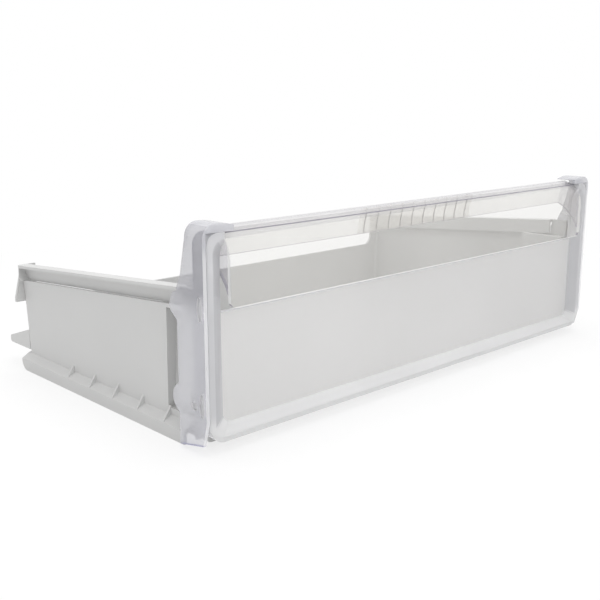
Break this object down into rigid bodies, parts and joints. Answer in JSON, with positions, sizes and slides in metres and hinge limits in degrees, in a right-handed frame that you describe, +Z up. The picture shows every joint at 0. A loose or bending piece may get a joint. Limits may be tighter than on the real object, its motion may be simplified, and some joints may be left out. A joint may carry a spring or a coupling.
{
  "type": "freezer drawer",
  "caption": "Shallow white freezer drawer with a clear bevelled front, a hooded finger-grip handle, clear end caps, side runners and a low back wall.",
  "frame": {"origin": "centre of the footprint, on the surface that the runners stand on", "axes": "+X to the right as seen from the front, +Y to the back, +Z up"},
  "size_m": [0.44, 0.286, 0.1455],
  "materials": {
    "bin_white": "white satin moulding",
    "front_clear": "clear moulding with a fine frosted plate",
    "hood_clear": "clear polished moulding",
    "cap_clear": "clear moulding with a faint lavender tint"
  },
  "bodies": {
    "root": {"bin": "bin_white", "front_panel": "front_clear", "handle_hood": "hood_clear", "left_end_cap": "cap_clear", "right_end_cap": "cap_clear"}
  },
  "joints": []
}
